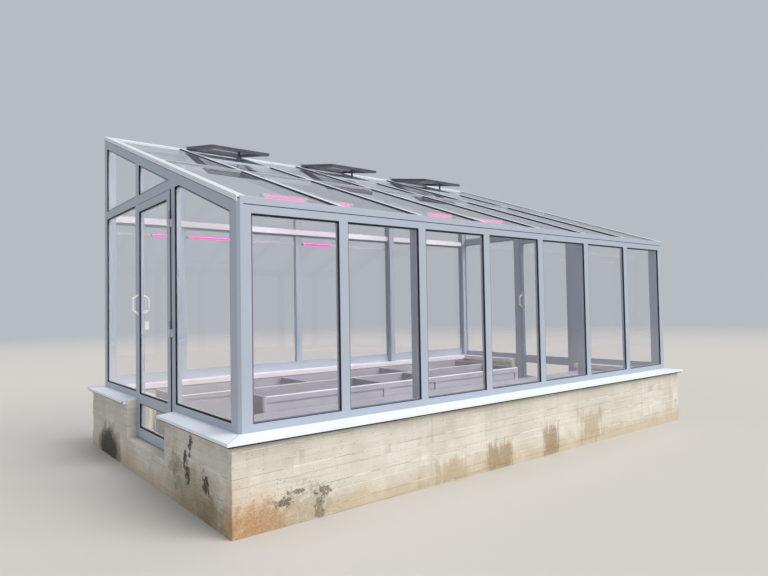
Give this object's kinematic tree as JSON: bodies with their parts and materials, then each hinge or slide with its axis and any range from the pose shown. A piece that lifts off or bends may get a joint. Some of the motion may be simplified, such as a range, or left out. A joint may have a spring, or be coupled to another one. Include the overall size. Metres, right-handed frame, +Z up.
{
  "type": "lean-to glass greenhouse",
  "caption": "Lean-to greenhouse with glass walls and roof in a pale grey frame on a concrete plinth, with doors, raised roof vents, planting beds and grow lights.",
  "frame": {"origin": "middle of the plinth's underside, at ground level", "axes": "+X along the front wall from the near gable to the far one, +Y from the low front wall to the tall rear wall, +Z up"},
  "size_m": [6.02, 3.77, 3.474],
  "materials": {
    "concrete": "cast concrete with the marks of its board formwork",
    "sill_paint": "folded sheet, light grey powder coat",
    "frame_paint": "light blue-grey powder-coated aluminium",
    "white_board": "white window board",
    "cap_paint": "light grey powder-coated cap",
    "clear_glass": "clear float glass",
    "vent_paint": "dark grey powder coat",
    "opener_plastic": "black plastic and steel",
    "handle_steel": "satin stainless steel",
    "hinge_paint": "powder-coated hinge",
    "bed_paint": "satin grey coated steel sheet",
    "lamp": "lit diffuser of a grow light",
    "box_plastic": "white moulded plastic"
  },
  "bodies": {
    "greenhouse": {"front_plinth": "concrete", "rear_plinth": "concrete", "gable_plinths": "concrete", "door_thresholds": "concrete", "front_sill": "sill_paint", "rear_sill": "sill_paint", "gable_sills": "sill_paint", "inner_sills": "white_board", "front_shelf": "bed_paint", "corner_posts": "frame_paint", "front_mullions": "frame_paint", "rear_mullions": "frame_paint", "portal_frames": "frame_paint", "front_rails": "frame_paint", "eaves_profile": "frame_paint", "ridge_beam": "frame_paint", "rear_bottom_rail": "frame_paint", "rear_transoms": "frame_paint", "service_rail": "white_board", "gable_rafters": "frame_paint", "roof_bars": "frame_paint", "roof_purlins": "frame_paint", "front_glass": "clear_glass", "rear_glass": "clear_glass", "near_gable_frame": "frame_paint", "far_gable_frame": "frame_paint", "gable_glass": "clear_glass", "roof_edge_cap": "cap_paint", "roof_caps": "cap_paint", "roof_glass": "clear_glass", "vent_curbs": "frame_paint", "vent_frames": "vent_paint", "vent_glass": "clear_glass", "vent_openers": "opener_plastic", "hinge_brackets": "hinge_paint", "front_bed": "bed_paint", "rear_bed": "bed_paint", "grow_lights": "lamp", "switch_box": "box_plastic"},
    "near_door": {"near_door_leaf": "frame_paint", "near_door_glass": "clear_glass", "near_door_handles": "handle_steel"},
    "far_door": {"far_door_leaf": "frame_paint", "far_door_glass": "clear_glass", "far_door_handles": "handle_steel"}
  },
  "joints": [
    {"name": "near_door_hinge", "type": "hinge", "parent": "greenhouse", "child": "near_door", "pos_m": [-2.88, -0.4395, 1.312], "axis": [0, 0, 1], "range_deg": [0, 90]},
    {"name": "far_door_hinge", "type": "hinge", "parent": "greenhouse", "child": "far_door", "pos_m": [2.88, -0.4395, 1.312], "axis": [0, 0, -1], "range_deg": [0, 90]}
  ]
}
